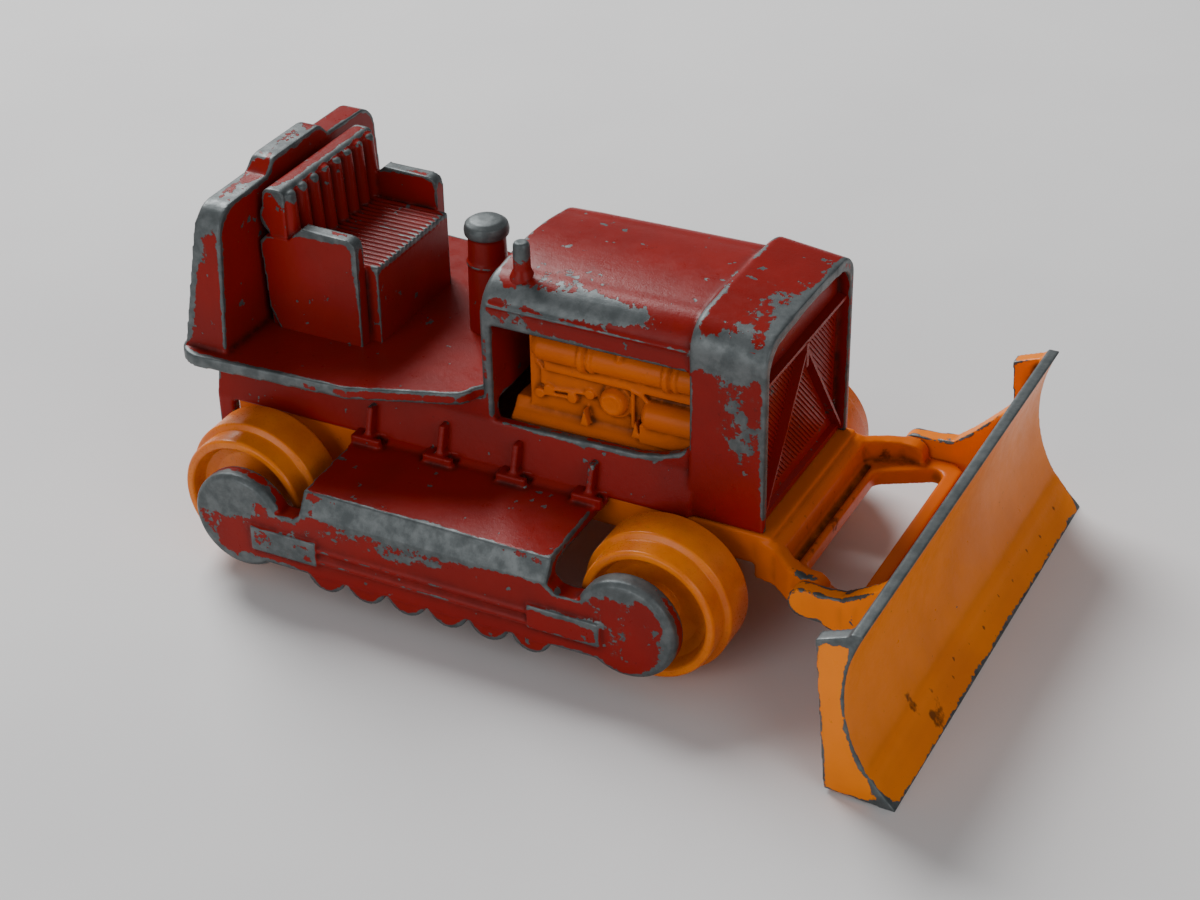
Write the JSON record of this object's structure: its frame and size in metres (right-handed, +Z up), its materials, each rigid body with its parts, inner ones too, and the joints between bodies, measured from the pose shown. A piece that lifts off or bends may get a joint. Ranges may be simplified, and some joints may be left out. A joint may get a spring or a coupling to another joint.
{
  "type": "toy bulldozer",
  "caption": "Die-cast toy crawler bulldozer with an enamelled body, a visible engine, free-turning plastic rollers and a curved front blade that lifts on two arms.",
  "frame": {"origin": "on the floor, under the middle of the toy's box", "axes": "+X ahead to the blade, +Y to the driver's left, +Z up"},
  "size_m": [0.064, 0.0424, 0.0302],
  "materials": {
    "red_enamel": "chipped red enamel over grey zinc casting",
    "orange_enamel": "chipped orange-yellow enamel over grey zinc casting",
    "orange_plastic": "moulded orange plastic, slightly glossy",
    "steel": "plain drawn steel"
  },
  "bodies": {
    "chassis": {"body_casting": "red_enamel", "base_casting": "orange_enamel", "front_axle": "steel", "rear_axle": "steel", "front_rivet": "steel", "rear_rivet": "steel"},
    "blade": {"blade_casting": "orange_enamel"},
    "front_left_wheel": {"front_left_roller": "orange_plastic"},
    "front_right_wheel": {"front_right_roller": "orange_plastic"},
    "rear_left_wheel": {"rear_left_roller": "orange_plastic"},
    "rear_right_wheel": {"rear_right_roller": "orange_plastic"}
  },
  "joints": [
    {"name": "blade_lift", "type": "hinge", "parent": "chassis", "child": "blade", "pos_m": [0.021, 0, 0.0085], "axis": [0, -1, 0], "range_deg": [0, 30]},
    {"name": "front_left_spin", "type": "hinge", "parent": "chassis", "child": "front_left_wheel", "pos_m": [0.01005, 0.0131, 0.006], "axis": [0, 1, 0], "continuous": true},
    {"name": "front_right_spin", "type": "hinge", "parent": "chassis", "child": "front_right_wheel", "pos_m": [0.01005, -0.0131, 0.006], "axis": [0, 1, 0], "continuous": true},
    {"name": "rear_left_spin", "type": "hinge", "parent": "chassis", "child": "rear_left_wheel", "pos_m": [-0.02525, 0.0131, 0.006], "axis": [0, 1, 0], "continuous": true},
    {"name": "rear_right_spin", "type": "hinge", "parent": "chassis", "child": "rear_right_wheel", "pos_m": [-0.02525, -0.0131, 0.006], "axis": [0, 1, 0], "continuous": true}
  ]
}
